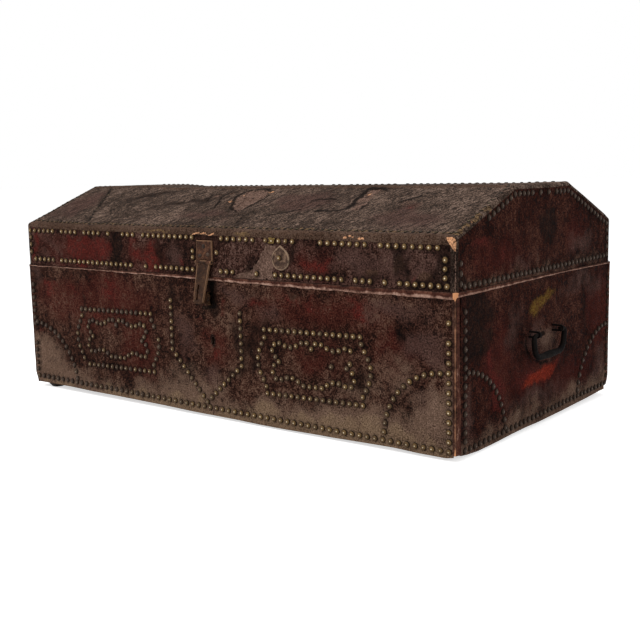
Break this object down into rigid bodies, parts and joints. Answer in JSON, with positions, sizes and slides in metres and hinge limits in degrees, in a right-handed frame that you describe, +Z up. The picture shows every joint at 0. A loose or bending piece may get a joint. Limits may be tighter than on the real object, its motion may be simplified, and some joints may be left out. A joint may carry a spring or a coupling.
{
  "type": "canted-lid leather trunk",
  "caption": "Leather-covered wooden travelling trunk with a hinged three-plane lid, studded with brass nails, a hasp lock in front and a bail handle on each end.",
  "frame": {"origin": "on the floor, under the middle of the trunk with its lid closed", "axes": "+X to the right as one faces the front, +Y from the front to the back, +Z up"},
  "size_m": [1.0414, 0.5891, 0.4018],
  "materials": {
    "pine": "bare, aged",
    "dark_wood": "dark, worn",
    "body_hide": "worn, crazed, patches of red",
    "lid_hide": "worn, dusty, wrinkled",
    "edge_leather": "raw worn edge",
    "brass": "tarnished, polished on top",
    "old_brass": "dull, dented",
    "iron": "hand-forged, rust brown"
  },
  "bodies": {
    "body": {"front_board": "pine", "back_board": "pine", "left_end_board": "pine", "right_end_board": "pine", "bottom_board": "pine", "foot_front_left": "dark_wood", "foot_front_right": "dark_wood", "foot_back_left": "dark_wood", "foot_back_right": "dark_wood", "front_hide": "body_hide", "back_hide": "body_hide", "left_end_hide": "body_hide", "right_end_hide": "body_hide", "corner_strips": "edge_leather", "rim_strips": "edge_leather", "body_front_studs": "brass", "left_end_studs": "brass", "right_end_studs": "brass", "body_back_studs": "brass", "hinge_left_body_strap": "iron", "hinge_right_body_strap": "iron", "hinge_pins": "iron", "hinge_body_nails": "iron", "lock_case": "iron", "lock_pegs": "iron", "lock_spring": "iron", "lock_nails": "iron", "left_front_staple": "iron", "left_back_staple": "iron", "right_front_staple": "iron", "right_back_staple": "iron"},
    "lid": {"lid_front_board": "pine", "lid_back_board": "pine", "lid_left_end_board": "pine", "lid_right_end_board": "pine", "lid_front_slope_board": "pine", "lid_top_board": "pine", "lid_back_slope_board": "pine", "lid_top_hide": "lid_hide", "lid_front_hide": "lid_hide", "lid_back_hide": "lid_hide", "lid_left_end_hide": "lid_hide", "lid_right_end_hide": "lid_hide", "lid_front_studs": "brass", "lid_left_end_studs": "brass", "lid_right_end_studs": "brass", "lid_back_studs": "brass", "hinge_left_lid_strap": "iron", "hinge_right_lid_strap": "iron", "hinge_lid_nails": "iron", "hasp_plate": "iron", "hasp_pin": "iron", "hasp_nails": "iron", "drop_plate": "old_brass", "drop_plate_nail": "brass"},
    "hasp": {"hasp_tongue": "iron"},
    "lock_bolt": {"lock_bolt": "iron"},
    "left_handle": {"left_handle": "iron"},
    "right_handle": {"right_handle": "iron"}
  },
  "joints": [
    {"name": "lid_hinge", "type": "hinge", "parent": "body", "child": "lid", "pos_m": [0, 0.2833, 0.253], "axis": [-1, 0, 0], "range_deg": [0, 110]},
    {"name": "hasp_hinge", "type": "hinge", "parent": "lid", "child": "hasp", "pos_m": [0, -0.2818, 0.2775], "axis": [-1, 0, 0], "range_deg": [-13.7, 150]},
    {"name": "bolt_slide", "type": "slide", "parent": "body", "child": "lock_bolt", "axis": [1, 0, 0], "range_m": [0, 0.016]},
    {"name": "left_handle_swing", "type": "hinge", "parent": "body", "child": "left_handle", "pos_m": [-0.515, 0, 0.16], "axis": [0, 1, 0], "range_deg": [-10, 165]},
    {"name": "right_handle_swing", "type": "hinge", "parent": "body", "child": "right_handle", "pos_m": [0.515, 0, 0.16], "axis": [0, -1, 0], "range_deg": [-10, 165]}
  ]
}
